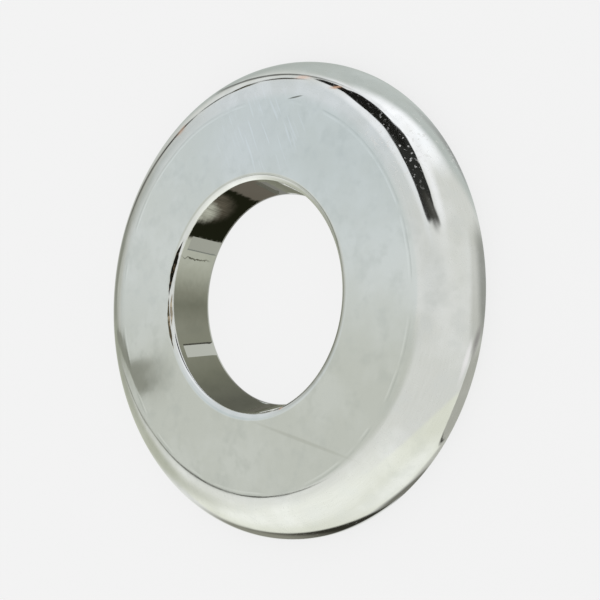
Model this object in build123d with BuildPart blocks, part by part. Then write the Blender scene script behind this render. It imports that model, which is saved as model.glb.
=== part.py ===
from build123d import *
import os

# Pipe rosette, in millimetres: one disc of thin sheet drawn into a shallow hollow ring.
# It slides along a pipe to the wall and hides the rough hole that the pipe comes out of.
# The origin is the centre of the wall plane, and +Z runs along the pipe, away from the wall.

# Ring
outside_diameter = 60.0
rim_radius = 5.4
skirt_height = 0.4
sheet_thickness = 0.5

# Collar round the pipe
pipe_diameter = 26.9
finger_lean = 1.05
lip_radius = 0.75
grip_length = 0.8
finger_setback = 0.1

# Slits that part the collar into spring fingers
slit_count = 6
slit_width = 2.0
slit_to_face = 1.05

# Sizes that follow
outside_radius = outside_diameter / 2
face_height = skirt_height + rim_radius
grip_radius = pipe_diameter / 2
grip_top = finger_setback + grip_length
mouth_radius = grip_radius + finger_lean
slit_reach = mouth_radius + lip_radius + sheet_thickness
slit_top = face_height - slit_to_face

with BuildPart() as rosette:
    # The polished side of the sheet rises from the wall as a short skirt, rolls over the rim,
    # runs flat across the face, turns down into the bore, and leans in along the fingers to
    # their straight tips, which bear on the pipe. The thickness lies behind that side, and the
    # lip of the bore is rounded on the polished side only, as a punch draws it.
    with BuildSketch(Plane.XZ) as sheet_section:
        with BuildLine() as polished_side:
            FilletPolyline(
                (outside_radius, 0),
                (outside_radius, face_height),
                (mouth_radius, face_height),
                (grip_radius, grip_top),
                (grip_radius, finger_setback),
                radius=(rim_radius, 0, 0),
            )
            offset(amount=sheet_thickness, kind=Kind.INTERSECTION, side=Side.LEFT)
        make_face()
        bore_corner = sheet_section.vertices().group_by(Axis.Y)[-1].sort_by(Axis.X)[0]
        fillet(bore_corner, lip_radius)
    revolve(axis=Axis.Z)

    # Each slit is cut from the collar's free end and stops just short of the lip.
    with BuildSketch(Plane.XY) as slits:
        with PolarLocations(slit_reach / 2, slit_count):
            Rectangle(slit_reach, slit_width)
    extrude(amount=slit_top, mode=Mode.SUBTRACT)

rosette.part.label = "rosette"

os.makedirs("parts", exist_ok=True)
export_step(rosette.part, "parts/rosette.step")
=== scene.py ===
import bpy
import math
import numpy as np
from mathutils import Matrix, Vector


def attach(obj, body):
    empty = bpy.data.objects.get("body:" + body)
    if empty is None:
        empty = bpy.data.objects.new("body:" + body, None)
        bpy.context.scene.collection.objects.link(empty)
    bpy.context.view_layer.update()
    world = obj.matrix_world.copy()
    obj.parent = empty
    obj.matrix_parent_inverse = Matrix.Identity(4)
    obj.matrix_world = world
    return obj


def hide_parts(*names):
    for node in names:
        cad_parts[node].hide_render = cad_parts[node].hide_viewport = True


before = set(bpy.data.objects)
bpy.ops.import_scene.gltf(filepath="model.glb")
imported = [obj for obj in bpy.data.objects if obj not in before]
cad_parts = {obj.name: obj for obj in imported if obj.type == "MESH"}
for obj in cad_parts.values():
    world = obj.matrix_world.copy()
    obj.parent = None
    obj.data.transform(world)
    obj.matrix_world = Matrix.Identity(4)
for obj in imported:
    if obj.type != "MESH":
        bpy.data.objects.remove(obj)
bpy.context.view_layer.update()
scene = bpy.context.scene
scene.view_settings.view_transform = "Standard"


# Rosette
# One disc of thin sheet, drawn to a shallow hollow ring with a rolled rim. Its bore is flanged to a
# collar, the collar is slit into six spring fingers that grip the pipe, and the whole is chrome plated.
MM = 0.001
outside_radius = 30.0
skirt_height = 0.4
face_height = 5.8
flat_edge = 23.9
shoulder_radius = 11.6
sheet = 0.5
trim_radius = 0.08
dish_radius = 1.6
dish_turn = math.radians(35)
edge_radius = 0.2
grip_radius = 13.45
grip_top = 0.9
tip_setback = 0.1
tip_radius = 0.07
bend_radius = 1.5
finger_lean = math.atan(1.05 / (face_height - grip_top))
slit_count = 6
slit_half_width = 1.0
slit_top = 4.75


def arc(centre, radius, start, end, count):
    """Rows r, z, normal r, normal z on a circle about centre, from the start to the end angle in
    radians: the centre plus the radius times the normal, which points away from the centre."""
    angle = np.linspace(start, end, count)
    outward = np.stack([np.cos(angle), np.sin(angle)], 1)
    return np.hstack([np.array(centre) + radius * outward, outward])


def line(start, end, normal, count):
    """Rows evenly spaced from start to end, all with one normal."""
    t = np.linspace(0, 1, count)[:, None]
    return np.hstack([np.array(start) * (1 - t) + np.array(end) * t, np.tile(normal, (count, 1))])


def behind(rows, depth):
    """The same rows in reverse, set back by depth along their normals and facing the other way."""
    back = rows[::-1].copy()
    back[:, :2] -= depth * back[:, 2:]
    back[:, 2:] *= -1
    return back


# The polished side, from the trimmed foot over the rim and the face to the tips of the fingers.
quarter = math.pi / 2
foot = arc((outside_radius - trim_radius, trim_radius), trim_radius, -quarter, 0, 4)

# The roll of the rim and the soft shoulder of the flat are two circles that meet at one slope. The
# radius of the roll follows from the shoulder's: it has to reach the skirt and the face as well.
run, rise = outside_radius - flat_edge, face_height - skirt_height
rim_radius = (2 * shoulder_radius * rise - rise**2 - run**2) / (2 * (shoulder_radius - run))
shoulder_turn = math.atan2(run - rim_radius, shoulder_radius - rise)
rim = arc((outside_radius - rim_radius, skirt_height), rim_radius, 0, quarter - shoulder_turn, 37)
shoulder_centre = (flat_edge, face_height - shoulder_radius)
shoulder = arc(shoulder_centre, shoulder_radius, quarter - shoulder_turn, quarter, 14)[1:]

# The lip of the bore dips as a shallow dish and breaks over a crisp edge into the leaning collar.
edge_turn = quarter - finger_lean
dish_drop = dish_radius * (1 - math.cos(dish_turn))
edge_drop = edge_radius * (math.cos(dish_turn) - math.cos(edge_turn))
edge_low = face_height - dish_drop - edge_drop
edge_in = grip_radius + (edge_low - grip_top) * math.tan(finger_lean)
dish_run = dish_radius * math.sin(dish_turn)
edge_run = edge_radius * (math.sin(edge_turn) - math.sin(dish_turn))
dish_start = edge_in + dish_run + edge_run
flat = line((flat_edge, face_height), (dish_start, face_height), (0, 1), 8)[1:]
dish = arc((dish_start, face_height - dish_radius), dish_radius, quarter, quarter + dish_turn, 10)[1:]
edge_centre = dish[-1, :2] - edge_radius * dish[-1, 2:]
edge = arc(edge_centre, edge_radius, quarter + dish_turn, quarter + edge_turn, 9)[1:]
finger_normal = (-math.cos(finger_lean), math.sin(finger_lean))
bend_reach = bend_radius * math.tan(finger_lean / 2)
slit_in = grip_radius + (slit_top - grip_top) * math.tan(finger_lean)
bend_top = (grip_radius + bend_reach * math.sin(finger_lean), grip_top + bend_reach * math.cos(finger_lean))
above_slit = line((edge_in, edge_low), (slit_in, slit_top), finger_normal, 4)[1:-1]
finger = line((slit_in, slit_top), bend_top, finger_normal, 12)
bend_low = grip_top - bend_reach
bend = arc((grip_radius + bend_radius, bend_low), bend_radius, math.pi - finger_lean, math.pi, 5)[1:]
tip_height = tip_setback + tip_radius
land = line((grip_radius, bend_low), (grip_radius, tip_height), (-1, 0), 4)[1:]
finger = np.vstack([finger, bend, land])
tip_in = arc((grip_radius + tip_radius, tip_height), tip_radius, math.pi, 3 * quarter, 4)[1:]
tip_out_centre = (grip_radius + sheet - tip_radius, tip_height)
tip_out = arc(tip_out_centre, tip_radius, 3 * quarter, 4 * quarter, 4)[:-1]

# The plain back, which follows the polished side one sheet thickness behind it.
finger_back = behind(finger, sheet)
corner_low = behind(above_slit[:1], sheet)[0]
dish_back = behind(np.vstack([flat[-1:], dish[:-2]]), sheet)
corner_high = dish_back[0]
crossing = np.linalg.solve(
    np.stack([corner_low[2:], corner_high[2:]]),
    [corner_low[:2] @ corner_low[2:], corner_high[:2] @ corner_high[2:]],
)
t = np.linspace(0, 1, 7)[1:-1, None]
corner_rows = np.hstack([
    corner_low[:2] * (1 - t) ** 2 + 2 * t * (1 - t) * crossing + corner_high[:2] * t**2,
    corner_low[2:] * (1 - t) + corner_high[2:] * t,
])
corner_rows[:, 2:] /= np.linalg.norm(corner_rows[:, 2:], axis=1)[:, None]
under = line((dish_start, face_height - sheet), (flat_edge, face_height - sheet), (0, -1), 5)[1:-1]
rim_back = behind(np.vstack([rim[::2], shoulder[::3]]), sheet)
foot_back_centre = (outside_radius - sheet + trim_radius, trim_radius)
foot_back = arc(foot_back_centre, trim_radius, math.pi, 3 * quarter, 4)

polished = np.vstack([foot, rim, shoulder, flat, dish, edge, above_slit, finger])
section = np.vstack([
    polished, tip_in, tip_out, finger_back, corner_low[None], corner_rows,
    dish_back, under, rim_back, foot_back,
])
first_cut = len(polished) - len(finger)
last_cut = first_cut + 2 * len(finger) + len(tip_in) + len(tip_out) - 1


def slit_columns(radius, per_finger, per_slit):
    """Column angles for rows at these radii, six like sectors of one slit and one finger. A slit's
    edge stands off its centre line by the same width at every radius: half angle asin(width / r)."""
    half = np.arcsin(slit_half_width / np.minimum(radius, dish_start))[:, None]
    sector = 2 * math.pi / slit_count
    in_slit = half * np.linspace(-1, 1, per_slit + 1)[None, :-1]
    in_finger = half + (sector - 2 * half) * np.linspace(0, 1, per_finger + 1)[None, :-1]
    one = np.hstack([in_slit, in_finger])
    turns = sector * np.arange(slit_count)
    return (turns[None, :, None] + one[:, None, :]).reshape(len(radius), -1)


def grid_quads(rows, columns):
    """Corner numbers of the quads of a grid that closes on itself along both of its directions."""
    i, j = np.meshgrid(np.arange(rows), np.arange(columns), indexing="ij")
    i2, j2 = (i + 1) % rows, (j + 1) % columns
    return np.stack([i * columns + j, i * columns + j2, i2 * columns + j2, i2 * columns + j], -1)


per_finger, per_slit = 78, 4
angles = slit_columns(section[:, 0], per_finger, per_slit)
rows, columns = angles.shape
around = np.stack([np.cos(angles), np.sin(angles)], -1)
radial, axial, normal_radial, normal_axial = section.T[:, :, None, None]
all_round = np.ones((1, columns, 1))
points = np.concatenate([radial * around, axial * all_round], -1)
normals = np.concatenate([normal_radial * around, normal_axial * all_round], -1)

quads = grid_quads(rows, columns)
row, column = np.indices((rows, columns))
in_slit = column % (per_slit + per_finger) < per_slit
keep = ~(in_slit & (row >= first_cut) & (row < last_cut))
shell = quads[keep]

# The walls that a slit's cut leaves: its roof under the lip, and the two ends of the fingers.
slit_starts = np.arange(slit_count) * (per_slit + per_finger)
roof_from = (slit_starts[:, None] + np.arange(per_slit)).ravel()
roof = np.stack([
    first_cut * columns + roof_from, first_cut * columns + roof_from + 1,
    last_cut * columns + roof_from + 1, last_cut * columns + roof_from,
], -1)
step = np.arange((last_cut - first_cut) // 2)
wall = np.stack([first_cut + step, first_cut + step + 1, last_cut - step - 1, last_cut - step], -1)
wall_start = (wall[None] * columns + slit_starts[:, None, None]).reshape(-1, 4)[:, ::-1]
wall_end = (wall[None] * columns + slit_starts[:, None, None] + per_slit).reshape(-1, 4)
cut_faces = np.vstack([roof, wall_start, wall_end])

faces = np.vstack([shell, cut_faces])
used, faces = np.unique(faces, return_inverse=True)
faces = faces.reshape(-1, 4)
corners = points.reshape(-1, 3)[used] * MM
corner_normals = normals.reshape(-1, 3)[used][faces]
cut = corners[faces[len(shell):]]
cut_normals = np.cross(cut[:, 2] - cut[:, 0], cut[:, 3] - cut[:, 1])
cut_normals /= np.linalg.norm(cut_normals, axis=1)[:, None]
corner_normals[len(shell):] = cut_normals[:, None]
on_back = np.repeat(np.arange(rows) >= len(polished), columns)[used].astype(np.float32)

shell_mesh = bpy.data.meshes.new("rosette_shell")
shell_mesh.from_pydata(corners.tolist(), [], faces.tolist())
shell_mesh.polygons.foreach_set("use_smooth", np.ones(len(faces), bool))
shell_mesh.normals_split_custom_set(corner_normals.reshape(-1, 3).tolist())
shell_mesh.attributes.new("plain_back", "FLOAT", "POINT").data.foreach_set("value", on_back)
sheared_faces = (np.arange(len(faces)) >= len(shell)).astype(np.float32)
shell_mesh.attributes.new("sheared", "FLOAT", "FACE").data.foreach_set("value", sheared_faces)
shell_mesh.update()
rosette = bpy.data.objects.new("rosette_shell", shell_mesh)
scene.collection.objects.link(rosette)


def wire(tree, kind, *feeds, **settings):
    """Adds a node and feeds its inputs in order: a socket is linked, a value is set, None is left."""
    made = tree.nodes.new(kind)
    for name, value in settings.items():
        setattr(made, name, value)
    for socket, feed in zip(made.inputs, feeds):
        if isinstance(feed, bpy.types.NodeSocket):
            tree.links.new(feed, socket)
        elif feed is not None:
            socket.default_value = feed
    return made.outputs[0] if made.outputs else None


def maths(tree, operation, *feeds):
    """One sum of two numbers, such as MULTIPLY or ADD."""
    return wire(tree, "ShaderNodeMath", *feeds, operation=operation)


def fade(tree, value, start, end):
    """A smooth step: 0 where the value is at start, 1 where it is at end."""
    return wire(tree, "ShaderNodeMapRange", value, start, end, interpolation_type="SMOOTHSTEP")


def tint(tree, amount, below, above):
    """The colour below, covered by the colour above by the given amount."""
    made = tree.nodes.new("ShaderNodeMix")
    made.data_type = "RGBA"
    for socket, feed in ((made.inputs[0], amount), (made.inputs[6], below), (made.inputs[7], above)):
        if isinstance(feed, bpy.types.NodeSocket):
            tree.links.new(feed, socket)
        else:
            socket.default_value = feed if isinstance(feed, float) else (*feed, 1.0)
    return made.outputs[2]


def placed(tree, place, centre, turn, half_sizes):
    """Coordinates of a mark: its centre at 0, its own axes, and its half sizes at 1."""
    rotation = (0.0, 0.0, math.radians(turn))
    return wire(tree, "ShaderNodeMapping", place, centre, rotation, half_sizes, vector_type="TEXTURE")


def soft_spot(tree, place, centre, turn, half_sizes, softness, corner=2):
    """1 inside an ellipse and 0 outside it, over an edge that is softness wide on each side. A corner
    above 2 squares the ellipse off to a rounded card: its edge is where x^corner + y^corner is 1."""
    local = placed(tree, place, centre, turn, half_sizes)
    local = wire(tree, "ShaderNodeVectorMath", local, operation="ABSOLUTE")
    x, y = wire(tree, "ShaderNodeSeparateXYZ", local).node.outputs[:2]
    reach = maths(tree, "ADD", maths(tree, "POWER", x, corner), maths(tree, "POWER", y, corner))
    return fade(tree, maths(tree, "POWER", reach, 1 / corner), 1 + softness, 1 - softness)


def grain(tree, place, scale, detail=2.0, roughness=0.5):
    """Plain noise from 0 to 1, scale features to the unit."""
    return wire(tree, "ShaderNodeTexNoise", place, None, scale, detail, roughness)


def ramp(tree, value, stops):
    """Colours along a value from 0 to 1, each stop a position and a colour."""
    made = tree.nodes.new("ShaderNodeValToRGB")
    tree.links.new(value, made.inputs[0])
    for extra in stops[2:]:
        made.color_ramp.elements.new(extra[0])
    for stop, (position, shade) in zip(made.color_ramp.elements, stops):
        stop.position, stop.color = position, (*shade, 1.0)
    return made.outputs[0]


def raised(tree, height, distance, below=None):
    """A bump of this height field, in metres, laid over the bump below it."""
    made = tree.nodes.new("ShaderNodeBump")
    made.inputs["Distance"].default_value = distance
    tree.links.new(height, made.inputs["Height"])
    if below is not None:
        tree.links.new(below, made.inputs["Normal"])
    return made.outputs[0]


chrome = bpy.data.materials.new("chrome_plate")
chrome.use_nodes = True
nodes = chrome.node_tree
surface = nodes.nodes["Principled BSDF"]
place = wire(nodes, "ShaderNodeTexCoord").node.outputs["Object"]
from_centre = wire(nodes, "ShaderNodeVectorMath", place, (1.0, 1.0, 0.0), operation="MULTIPLY")
radius = wire(nodes, "ShaderNodeVectorMath", from_centre, operation="LENGTH").node.outputs["Value"]
ground = wire(nodes, "ShaderNodeSeparateXYZ", place).node.outputs
bearing = maths(nodes, "DEGREES", maths(nodes, "ARCTAN2", ground["Y"], ground["X"]))

# Slow waves of the drawn sheet, and the fine peel of its plating.
wave_depth, peel_depth = 2.0e-5, 1.2e-6
relief = raised(nodes, grain(nodes, place, 75.0, 1.0), wave_depth)
relief = raised(nodes, grain(nodes, place, 650.0, 2.0), peel_depth, relief)

# Plate rubbed by cloths: streaks that run round the ring, and dull smudges.
polish_roughness, smudge_roughness, bare_roughness = 0.05, 0.05, 0.25
plate, rubbed_plate = (0.77, 0.775, 0.765), (0.70, 0.705, 0.685)
clear_plate, blotched_plate = (0.825, 0.83, 0.835), (0.725, 0.735, 0.73)
streak_length = 4.0e-5
streak_turn = maths(nodes, "MULTIPLY", bearing, streak_length)
streak_place = wire(nodes, "ShaderNodeCombineXYZ", radius, ground["Z"], streak_turn)
on_rim = fade(nodes, radius, 24.4 * MM, 25.2 * MM)
rubbed = maths(nodes, "MULTIPLY", grain(nodes, streak_place, 5200.0, 2.0), on_rim)
smudge = fade(nodes, grain(nodes, place, 160.0, 3.0), 0.42, 0.72)
back = wire(nodes, "ShaderNodeAttribute", attribute_name="plain_back").node.outputs["Fac"]
roughness = maths(nodes, "MULTIPLY_ADD", smudge, smudge_roughness, polish_roughness)
sheared = wire(nodes, "ShaderNodeAttribute", attribute_name="sheared").node.outputs["Fac"]
bare = maths(nodes, "MAXIMUM", back, sheared)
roughness = maths(nodes, "MULTIPLY_ADD", bare, bare_roughness, roughness)
colour = tint(nodes, rubbed, plate, rubbed_plate)
cloudy = fade(nodes, grain(nodes, place, 130.0, 3.0, 0.6), 0.40, 0.68)
colour = tint(nodes, maths(nodes, "MULTIPLY", cloudy, 0.9), colour, clear_plate)
blotchy = fade(nodes, grain(nodes, place, 420.0, 2.0, 0.6), 0.45, 0.75)
colour = tint(nodes, maths(nodes, "MULTIPLY", blotchy, 0.9), colour, blotched_plate)

# The line where the flat was let go by the draw ring, shown in painted light: a dull ring of painted shade
# and a bright ring of painted highlight, both broken in places.
wavering = maths(nodes, "MULTIPLY_ADD", grain(nodes, place, 120.0, 2.0), 0.5 * MM, radius)
ring_gaps = fade(nodes, grain(nodes, place, 230.0, 2.0), 0.40, 0.60)
for ring_radius, half_width, strength, shade in (
    (24.60 * MM, 0.14 * MM, 0.6, (0.64, 0.655, 0.65)),
    (24.28 * MM, 0.16 * MM, 0.75, (0.88, 0.885, 0.89)),
):
    off_ring = maths(nodes, "ABSOLUTE", maths(nodes, "SUBTRACT", wavering, ring_radius))
    ring = maths(nodes, "MULTIPLY", fade(nodes, off_ring, half_width, 0.3 * half_width), ring_gaps)
    colour = tint(nodes, maths(nodes, "MULTIPLY", ring, strength), colour, shade)

# Marks on the face: a patch of pale scratches under a painted bluish sheen, one long faint scratch and one
# short deep one.
drawn = placed(nodes, place, (0.0, 0.0, 0.0), 26.6, (0.0042, 0.00032, 0.02))
scratches = fade(nodes, grain(nodes, drawn, 1.0, 1.0), 0.58, 0.70)
patch = soft_spot(nodes, place, (20.2 * MM, -0.5 * MM, 0.0), 0, (4.5 * MM, 6.5 * MM, 1.0), 0.6)
# A painted bluish sheen laid over the patch of scratches.
painted_sheen = soft_spot(nodes, place, (19.6 * MM, 2.0 * MM, 0.0), 0, (4.0 * MM, 6.0 * MM, 1.0), 0.9)
colour = tint(nodes, maths(nodes, "MULTIPLY", painted_sheen, 0.45), colour, (0.83, 0.83, 0.86))
colour = tint(nodes, maths(nodes, "MULTIPLY", scratches, patch), colour, (0.86, 0.87, 0.90))
faint = soft_spot(nodes, place, (-16.9 * MM, -9.5 * MM, 0.0), 79, (6.6 * MM, 0.2 * MM, 1.0), 0.6)
colour = tint(nodes, maths(nodes, "MULTIPLY", faint, 0.5), colour, (0.60, 0.60, 0.57))
deep = soft_spot(nodes, place, (23.95 * MM, -6.3 * MM, 0.0), 93, (0.95 * MM, 0.09 * MM, 1.0), 0.5)
colour = tint(nodes, deep, colour, (0.22, 0.22, 0.20))

# The lip's painted dark reflection: black and brown patches along its bend, streaked with a lighter brown.
patch_wave = maths(nodes, "MULTIPLY_ADD", grain(nodes, place, 800.0, 2.0), 0.3 * MM, radius)
patch_wave = maths(nodes, "MULTIPLY_ADD", bearing, -0.0085 * MM, patch_wave)
brown_streaks = fade(nodes, grain(nodes, place, 1300.0, 2.0), 0.55, 0.63)
for lip_offset, half_width, bearing_middle, bearing_half, reflected_dark, reflected_brown in (
    (13.95 * MM, 0.13 * MM, 97.0, 8.0, (0.37, 0.32, 0.255), (0.56, 0.48, 0.38)),
    (14.34 * MM, 0.17 * MM, 104.0, 13.0, (0.12, 0.10, 0.065), (0.42, 0.34, 0.25)),
    (14.34 * MM, 0.22 * MM, 75.0, 14.0, (0.012, 0.011, 0.008), (0.08, 0.06, 0.04)),
):
    off_lip = maths(nodes, "ABSOLUTE", maths(nodes, "SUBTRACT", patch_wave, lip_offset))
    along_lip = maths(nodes, "SUBTRACT", bearing, bearing_middle)
    along_lip = maths(nodes, "MULTIPLY", along_lip, 1 / bearing_half)
    along_lip = maths(nodes, "MULTIPLY", along_lip, along_lip)
    patch_taper = maths(nodes, "MULTIPLY_ADD", along_lip, half_width, off_lip)
    # Painted dark reflection, streaked lighter brown and fading towards its ends.
    painted_lip_reflection = fade(nodes, patch_taper, 1.3 * half_width, half_width)
    colour = tint(nodes, painted_lip_reflection, colour, tint(nodes, brown_streaks, reflected_dark, reflected_brown))
back_plate, cut_metal = (0.52, 0.52, 0.50), (0.27, 0.265, 0.23)
colour = tint(nodes, back, colour, back_plate)
colour = tint(nodes, sheared, colour, cut_metal)

# Dust and pits: pale specks and short threads that show where the plate mirrors something dark.
speck = fade(nodes, grain(nodes, place, 2300.0, 1.0), 0.61, 0.70)
thread_place = placed(nodes, place, (0.0, 0.0, 0.0), 60.0, (0.0016, 0.00016, 0.0016))
thread = fade(nodes, grain(nodes, thread_place, 1.0, 0.0), 0.76, 0.82)
thickest = soft_spot(nodes, place, (16.5 * MM, -22.0 * MM, 0.0), -50, (13.0 * MM, 4.5 * MM, 1.0), 0.5)
thickest = maths(nodes, "MULTIPLY_ADD", thickest, 0.9, 0.1)
dusty = fade(nodes, grain(nodes, place, 190.0, 1.0), 0.30, 0.52)
dusty = maths(nodes, "MULTIPLY", maths(nodes, "MULTIPLY", dusty, thickest), on_rim)
dust = maths(nodes, "MULTIPLY", maths(nodes, "MAXIMUM", speck, thread), dusty)
dust_tone = (0.68, 0.685, 0.67)
colour = tint(nodes, dust, colour, dust_tone)
plated = maths(nodes, "MULTIPLY_ADD", dust, -0.7, 1.0)
nodes.links.new(plated, surface.inputs["Metallic"])
nodes.links.new(colour, surface.inputs["Base Color"])
nodes.links.new(roughness, surface.inputs["Roughness"])
nodes.links.new(relief, surface.inputs["Normal"])
shell_mesh.materials.append(chrome)
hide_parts("rosette")
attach(rosette, "root")


# Floor
# A plain pale sheet that the ring lies on. It shows its own tone to the camera and keeps a soft shadow,
# and it is clear from below, where the ring's plain back is seen through it.
floor_size = 1.5
floor_tone = 0.896
floor_mesh = bpy.data.meshes.new("floor")
floor_drop = 1e-5
floor_corners = np.array([(-1, -1, 0), (1, -1, 0), (1, 1, 0), (-1, 1, 0)]) * floor_size - (0, 0, floor_drop)
floor_mesh.from_pydata(floor_corners.tolist(), [], [(0, 1, 2, 3)])
floor = bpy.data.objects.new("floor", floor_mesh)
scene.collection.objects.link(floor)
paper = bpy.data.materials.new("pale_paper")
paper.use_nodes = True
sheet_nodes = paper.node_tree
sheet_nodes.nodes.clear()
matt = wire(sheet_nodes, "ShaderNodeBsdfDiffuse", (floor_tone, floor_tone, floor_tone, 1.0))
floor_rays = wire(sheet_nodes, "ShaderNodeLightPath").node
floor_place = wire(sheet_nodes, "ShaderNodeTexCoord").node.outputs["Object"]
ring_cover, bore_open = 29.5 * MM, 13.4 * MM
outside = soft_spot(sheet_nodes, floor_place, (0.0, 0.0, 0.0), 0, (ring_cover, ring_cover, 1.0), 0.01)
inside = soft_spot(sheet_nodes, floor_place, (0.0, 0.0, 0.0), 0, (bore_open, bore_open, 1.0), 0.006)
covered = maths(sheet_nodes, "SUBTRACT", outside, inside)
# Under the ring, where the slits look through, the floor's tone is painted shade: dark, with lighter
# painted patches.
painted_hollow_shade = (0.10, 0.10, 0.075)
for centre, half_sizes, softness, shade in (
    ((14.5, 2.0), (5.0, 4.0), 0.3, (0.19, 0.19, 0.165)),
    ((-1.5, 15.0), (13.0, 6.5), 0.2, (0.335, 0.345, 0.295)),
    ((-9.0, 15.0), (6.0, 6.5), 0.4, (0.455, 0.47, 0.42)),
):
    middle, spread = (centre[0] * MM, centre[1] * MM, 0.0), (half_sizes[0] * MM, half_sizes[1] * MM, 1.0)
    painted_lit_patch = soft_spot(sheet_nodes, floor_place, middle, 0, spread, softness)
    painted_hollow_shade = tint(sheet_nodes, painted_lit_patch, painted_hollow_shade, shade)
tone = tint(sheet_nodes, covered, (floor_tone, floor_tone, floor_tone), painted_hollow_shade)
floor_glow = wire(sheet_nodes, "ShaderNodeEmission", tone, 1.0)
open_share, extra_under_ring = 0.78, 0.17
own_tone = maths(sheet_nodes, "MULTIPLY_ADD", outside, extra_under_ring, open_share)
seen = maths(sheet_nodes, "MULTIPLY", floor_rays.outputs["Is Camera Ray"], own_tone)
both = wire(sheet_nodes, "ShaderNodeMixShader", seen, matt, floor_glow)
under_side = wire(sheet_nodes, "ShaderNodeNewGeometry").node.outputs["Backfacing"]
clear = wire(sheet_nodes, "ShaderNodeBsdfTransparent")
one_sided = wire(sheet_nodes, "ShaderNodeMixShader", under_side, both, clear)
wire(sheet_nodes, "ShaderNodeOutputMaterial", one_sided)
floor_mesh.materials.append(paper)
floor.visible_glossy = False


# Bore sleeve
# A glowing card sleeve that stands in the bore just clear of the fingers, which mirror it: olive and pale
# panels round the ring, one black panel and a torn line. Its pattern is painted reflection for the collar;
# it is part of the studio, seen in metal only.
picture_turn = 86.989
sleeve_gap = 0.25
sleeve_low, sleeve_high = -0.8, 5.25
sleeve_columns, sleeve_rows = 361, 13
round_angle = np.linspace(0, 360, sleeve_columns)
up = np.linspace(sleeve_low, sleeve_high, sleeve_rows)
round_grid, up_grid = np.meshgrid(round_angle, up)
sleeve_radius = grip_radius - sleeve_gap + np.maximum(up_grid - grip_top, 0) * math.tan(finger_lean)
turned_angle = np.radians(round_grid - picture_turn)
sleeve_x, sleeve_y = sleeve_radius * np.cos(turned_angle), sleeve_radius * np.sin(turned_angle)
sleeve_points = np.stack([sleeve_x, sleeve_y, up_grid], -1)
sleeve_quads = grid_quads(sleeve_rows, sleeve_columns)[:-1, :-1].reshape(-1, 4)
sleeve_mesh = bpy.data.meshes.new("bore_sleeve")
sleeve_mesh.from_pydata((sleeve_points.reshape(-1, 3) * MM).tolist(), [], sleeve_quads.tolist())
unrolled = np.stack([round_grid, up_grid, 0 * up_grid], -1).astype(np.float32)
unrolled_data = sleeve_mesh.attributes.new("unrolled", "FLOAT_VECTOR", "POINT").data
unrolled_data.foreach_set("vector", unrolled.ravel())
sleeve = bpy.data.objects.new("bore_sleeve", sleeve_mesh)
scene.collection.objects.link(sleeve)
sleeve_material = bpy.data.materials.new("glowing_reflection_card")
sleeve_material.use_nodes = True
card_nodes = sleeve_material.node_tree
card_nodes.nodes.clear()
card_place = wire(card_nodes, "ShaderNodeAttribute", attribute_name="unrolled").node.outputs["Vector"]
rough_place = placed(card_nodes, card_place, (0.0, 0.0, 0.0), 0, (4.0, 0.55, 1.0))
ragged = wire(card_nodes, "ShaderNodeTexNoise", rough_place, None, 1.0, 3.0, 0.6).node.outputs["Color"]
ragged = wire(card_nodes, "ShaderNodeVectorMath", ragged, (0.5, 0.5, 0.5), operation="SUBTRACT")
tear = (5.0, 0.7, 0.0)
ragged = wire(card_nodes, "ShaderNodeVectorMath", ragged, tear, operation="MULTIPLY")
torn_place = wire(card_nodes, "ShaderNodeVectorMath", card_place, ragged, operation="ADD")
black, umber, olive = (0.013, 0.014, 0.007), (0.14, 0.125, 0.098), (0.20, 0.205, 0.155)
dull, pale, light = (0.27, 0.275, 0.215), (0.39, 0.40, 0.325), (0.50, 0.515, 0.43)
dark = (0.125, 0.127, 0.10)
round_place = wire(card_nodes, "ShaderNodeSeparateXYZ", torn_place).node.outputs["X"]
full_turn = 360
shades = ramp(card_nodes, maths(card_nodes, "MULTIPLY", round_place, 1 / full_turn), [
    (degrees / full_turn, shade) for degrees, shade in (
        (20, dark), (45, pale), (66, dull), (80, olive), (88, dull), (91, umber), (143, umber),
        (146, light), (158, light), (167, pale), (174, dull), (181, olive), (193, dull), (206, dull),
        (222, olive), (246, dark), (258, dark), (272, olive), (300, pale), (330, olive), (350, dull),
    )
])
wedge_place = placed(card_nodes, card_place, (0.0, 0.0, 0.0), 0, (1.1, 3.0, 1.0))
streaks = maths(card_nodes, "MULTIPLY_ADD", grain(card_nodes, wedge_place, 1.0, 2.0), 1.5, 0.1)
panels = [
    ("black panel", (125.5, 2.2), 2.2, (18.3, 5.5), 0.07, 6, black, 1.0),
    ("umber wedge", (123.2, 5.3), 0, (9.8, 3.1), 0.4, 2, (0.13, 0.115, 0.085), streaks),
    ("pale wedge", (127.2, 5.4), 0, (6.0, 1.9), 0.5, 2, (0.53, 0.54, 0.45), streaks),
    ("torn line", (155.6, 3.0), 0, (0.42, 1.9), 0.5, 2, (0.10, 0.10, 0.07), 1.0),
]
for name, centre, turn, half_sizes, softness, corner, shade, strength in panels:
    cover = soft_spot(card_nodes, torn_place, (*centre, 0.0), turn, (*half_sizes, 1.0), softness, corner)
    cover.node.label = name
    shades = tint(card_nodes, maths(card_nodes, "MULTIPLY", cover, strength), shades, shade)
card_glow = wire(card_nodes, "ShaderNodeEmission", shades, 1.0)
wire(card_nodes, "ShaderNodeOutputMaterial", card_glow)
sleeve_mesh.materials.append(sleeve_material)
for hidden in ("camera", "diffuse", "shadow", "transmission", "volume_scatter"):
    setattr(sleeve, "visible_" + hidden, False)


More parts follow.
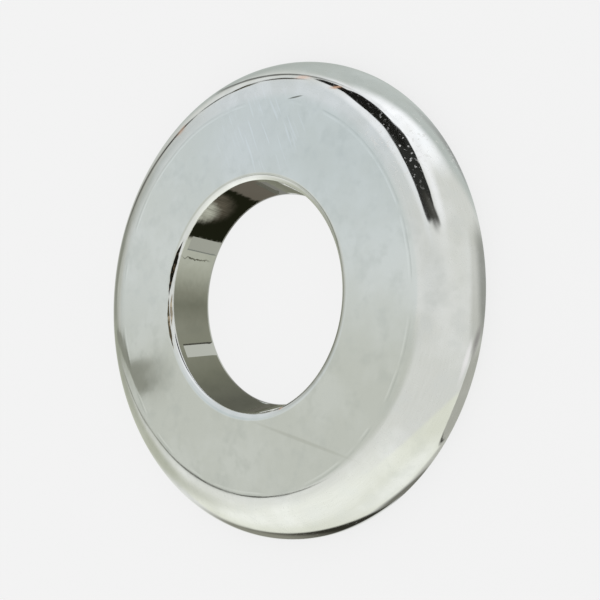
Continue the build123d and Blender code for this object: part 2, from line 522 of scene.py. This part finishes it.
# Studio
# A pale tent all round, with the cards and panels that the polished metal mirrors. Directions are laid
# out on a flat chart about the ring's axis: the distance from its middle is the angle from +Z in degrees.
room = [
    ("cream wall", (5, -88), -14, (98, 40.5), 0.07, 5, (0.90, 0.92, 0.81)),
    ("bright foot of the wall", (15, -105), 0, (40, 22), 0.7, 2, (1.0, 1.02, 0.95)),
    ("bright end of the wall", (-30, -50), -32, (42, 27), 0.6, 2, (1.08, 1.10, 1.03)),
    ("olive side", (-92, -17), -20, (36, 20), 0.5, 2, (0.55, 0.57, 0.475)),
    ("grey ceiling", (-20, 120), 0, (120, 46), 0.25, 2, (0.595, 0.64, 0.615)),
    ("grey upper left", (-105, 74), 30, (50, 28), 0.5, 2, (0.50, 0.54, 0.51)),
    ("soft upper left", (-60, 22), 0, (7, 7), 0.8, 2, (0.59, 0.63, 0.59)),
    ("dark end of the ceiling", (40, 165), 0, (95, 32), 0.35, 2, (0.40, 0.415, 0.405)),
    ("grey door", (116.7, -112.8), -42, (40, 95), 0.02, 8, (0.50, 0.505, 0.455)),
    ("hazy right side", (140, 6), 6, (36, 62), 0.22, 3, (0.66, 0.67, 0.625)),
    ("dark right side", (152, 40), 10, (30, 120), 0.4, 2, (0.37, 0.38, 0.35)),
    ("dark corner of the door", (130, -40), 45, (14, 8), 0.8, 2, (0.38, 0.37, 0.355)),
    ("bright side of the door", (104, -47), 52, (14, 6), 0.7, 2, (1.0, 0.985, 0.985)),
    ("door's dark edge", (55, -126), 52, (18, 1.1), 0.5, 2, (0.05, 0.05, 0.04)),
    ("bright panel", (26, 76), 15, (36, 20), 0.5, 2, (1.25, 1.27, 1.30)),
    ("bright panel's arm", (-9, 71.5), -3, (20, 4.5), 0.7, 2, (1.0, 1.02, 1.04)),
    ("bright panel's foot", (34, 57), -66, (24, 9), 0.8, 2, (1.13, 1.14, 1.16)),
    ("pale blue above", (-34, 36), 0, (32, 24), 0.5, 2, (0.76, 0.805, 0.82)),
    ("pale strip", (-5, 37), -50, (26, 8), 0.5, 2, (0.98, 1.01, 1.03)),
    ("soft right", (10, 8), 0, (30, 11), 0.7, 2, (0.755, 0.775, 0.745)),
    ("soft far right", (77, 19), 0, (22, 16), 0.8, 2, (0.785, 0.80, 0.755)),
    ("face zone", (-43, 5), 0, (19, 13), 0.12, 2, (0.73, 0.77, 0.745)),
    ("blue shade", (-39, 17), 0, (9, 8), 0.7, 2, (0.66, 0.725, 0.73)),
    ("green shade", (-43, -3.5), 0, (24, 7.5), 0.4, 2, (0.645, 0.67, 0.61)),
    ("black card", (14.8, 42.2), -68, (20, 13.8), 0.04, 4, (0.030, 0.031, 0.028)),
    ("black card's dusty foot", (25, 28), 0, (9, 5), 0.7, 2, (0.055, 0.055, 0.047)),
    ("black card's tail", (30, 29), -10, (8.5, 2.8), 0.5, 2, (0.09, 0.09, 0.08)),
    ("black card's shoulder", (0, 57.5), -20, (17, 10), 0.04, 2.6, (0.012, 0.012, 0.010)),
    ("black card's arm", (-14, 62), -14, (16, 4.2), 0.08, 2, (0.010, 0.010, 0.009)),
    ("orange end of the arm", (-20.5, 61.5), 66, (7.0, 0.7), 0.6, 2, (0.75, 0.48, 0.34)),
    ("dark floor edge", (-74, -97), -44, (48, 17), 0.2, 3, (0.035, 0.034, 0.026)),
    ("hazy floor", (22, -147), 0, (38, 14), 0.6, 2, (0.54, 0.545, 0.49)),
    ("dim floor edge", (-36, -141), 8, (36, 15), 0.4, 2, (0.20, 0.20, 0.17)),
    ("dim left floor", (-92, -74), -45, (28, 14), 0.6, 2, (0.28, 0.28, 0.23)),
    ("dim left side", (-90, 15), 0, (24, 22), 0.9, 2, (0.30, 0.31, 0.26)),
    ("left gleam", (-72, 9), 0, (7, 4), 0.8, 2, (0.55, 0.57, 0.51)),
    ("dusk's haze", (-84, 0.4), -2, (24, 3.0), 0.6, 2, (0.40, 0.42, 0.345)),
    ("dusk", (-67.4, 0.7), -1, (18.4, 1.6), 0.05, 4, (0.29, 0.30, 0.25)),
    ("dark line", (-46.5, -9.8), -14, (9.5, 0.75), 0.4, 2, (0.08, 0.08, 0.065)),
    ("dark line's bend", (-66, -6.6), -8, (13, 0.8), 0.6, 2, (0.33, 0.34, 0.29)),
    ("left rail's tail", (-86, 31), 30, (14, 5.0), 0.6, 2, (0.15, 0.15, 0.13)),
    ("left rail", (-73, 39.5), 40, (7.0, 3.3), 0.25, 2, (0.03, 0.03, 0.028)),
    ("upper rail", (-54, 68), 4.4, (36, 2.0), 0.5, 2, (0.16, 0.165, 0.155)),
    ("upper rail's line", (-66, 64.4), 5, (25, 0.6), 0.5, 2, (0.34, 0.35, 0.32)),
    ("rail's first dash", (-42, 58.2), 12, (8.0, 1.7), 0.4, 2, (0.07, 0.065, 0.055)),
    ("rail's second dash", (-54, 52.5), 40, (5.0, 2.4), 0.3, 2, (0.07, 0.065, 0.04)),
    ("rail's third dash", (-62.5, 47.8), 33, (5.5, 1.7), 0.3, 2, (0.09, 0.09, 0.08)),
    ("orange end", (-35, 64.5), 78, (4.0, 2.2), 0.8, 2, (0.90, 0.70, 0.60)),
    ("orange line", (-70.5, 39.5), -40, (8, 0.8), 0.7, 2, (0.62, 0.42, 0.31)),
]
world = bpy.data.worlds.new("studio")
scene.world = world
world.use_nodes = True
air = world.node_tree
air.nodes.clear()
ray = wire(air, "ShaderNodeTexCoord").node.outputs["Generated"]
height = wire(air, "ShaderNodeSeparateXYZ", ray).node.outputs["Z"]
from_axis = maths(air, "DEGREES", maths(air, "ARCCOSINE", height))
sideways = wire(air, "ShaderNodeVectorMath", ray, (1.0, 1.0, 0.0), operation="MULTIPLY")
sideways = wire(air, "ShaderNodeVectorMath", sideways, operation="NORMALIZE")
chart = air.nodes.new("ShaderNodeVectorMath")
chart.operation = "SCALE"
air.links.new(sideways, chart.inputs[0])
air.links.new(from_axis, chart.inputs["Scale"])
upright = (0, 0, math.radians(picture_turn))
chart = wire(air, "ShaderNodeMapping", chart.outputs[0], (0, 0, 0), upright, (1, 1, 1))
wobble_scale, wobble_degrees = 0.22, 2.2
wobble = wire(air, "ShaderNodeTexNoise", chart, None, wobble_scale, 3.0).node.outputs["Color"]
wobble = wire(air, "ShaderNodeVectorMath", wobble, (0.5, 0.5, 0.5), operation="SUBTRACT")
wobble_size = (wobble_degrees, wobble_degrees, 0.0)
wobble = wire(air, "ShaderNodeVectorMath", wobble, wobble_size, operation="MULTIPLY")
uneven_chart = wire(air, "ShaderNodeVectorMath", chart, wobble, operation="ADD")
tent = (0.83, 0.845, 0.81)
for name, centre, turn, half_sizes, softness, corner, shade in room:
    cover = soft_spot(air, uneven_chart, (*centre, 0.0), turn, (*half_sizes, 1.0), softness, corner)
    cover.node.label = name
    tent = tint(air, cover, tent, shade)
mirrored = wire(air, "ShaderNodeBackground", tent, 1.0)
backdrop = wire(air, "ShaderNodeBackground", (floor_tone, floor_tone, floor_tone, 1.0), 1.0)
daylight = wire(air, "ShaderNodeBackground", (1.0, 1.0, 1.0, 1.0), 1.0)
air_rays = wire(air, "ShaderNodeLightPath").node
unseen = wire(air, "ShaderNodeMixShader", air_rays.outputs["Is Glossy Ray"], daylight, mirrored)
sky = wire(air, "ShaderNodeMixShader", air_rays.outputs["Is Camera Ray"], unseen, backdrop)
wire(air, "ShaderNodeOutputWorld", sky)


# Camera
# It looks down on the ring as it lies, and is rolled so that the picture shows it standing on edge.
# Its place and lens follow from the outlines of the rim and the bore.
camera_data = bpy.data.cameras.new("camera")
camera_data.sensor_width = 36.0
camera_data.lens = 61.355
camera = bpy.data.objects.new("camera", camera_data)
scene.collection.objects.link(camera)
azimuth, elevation, roll = math.radians(-94.013), math.radians(48.566), math.radians(-84.722)
aim = Vector((-0.052, -1.813, -1.599)) * MM
camera_distance = 130.337
level = math.cos(elevation)
away = Vector((level * math.cos(azimuth), level * math.sin(azimuth), math.sin(elevation)))
facing = away.to_track_quat("Z", "Y").to_matrix().to_4x4() @ Matrix.Rotation(roll, 4, "Z")
camera.matrix_world = Matrix.Translation(aim + away * camera_distance * MM) @ facing
camera_data.clip_start = 0.005
scene.camera = camera
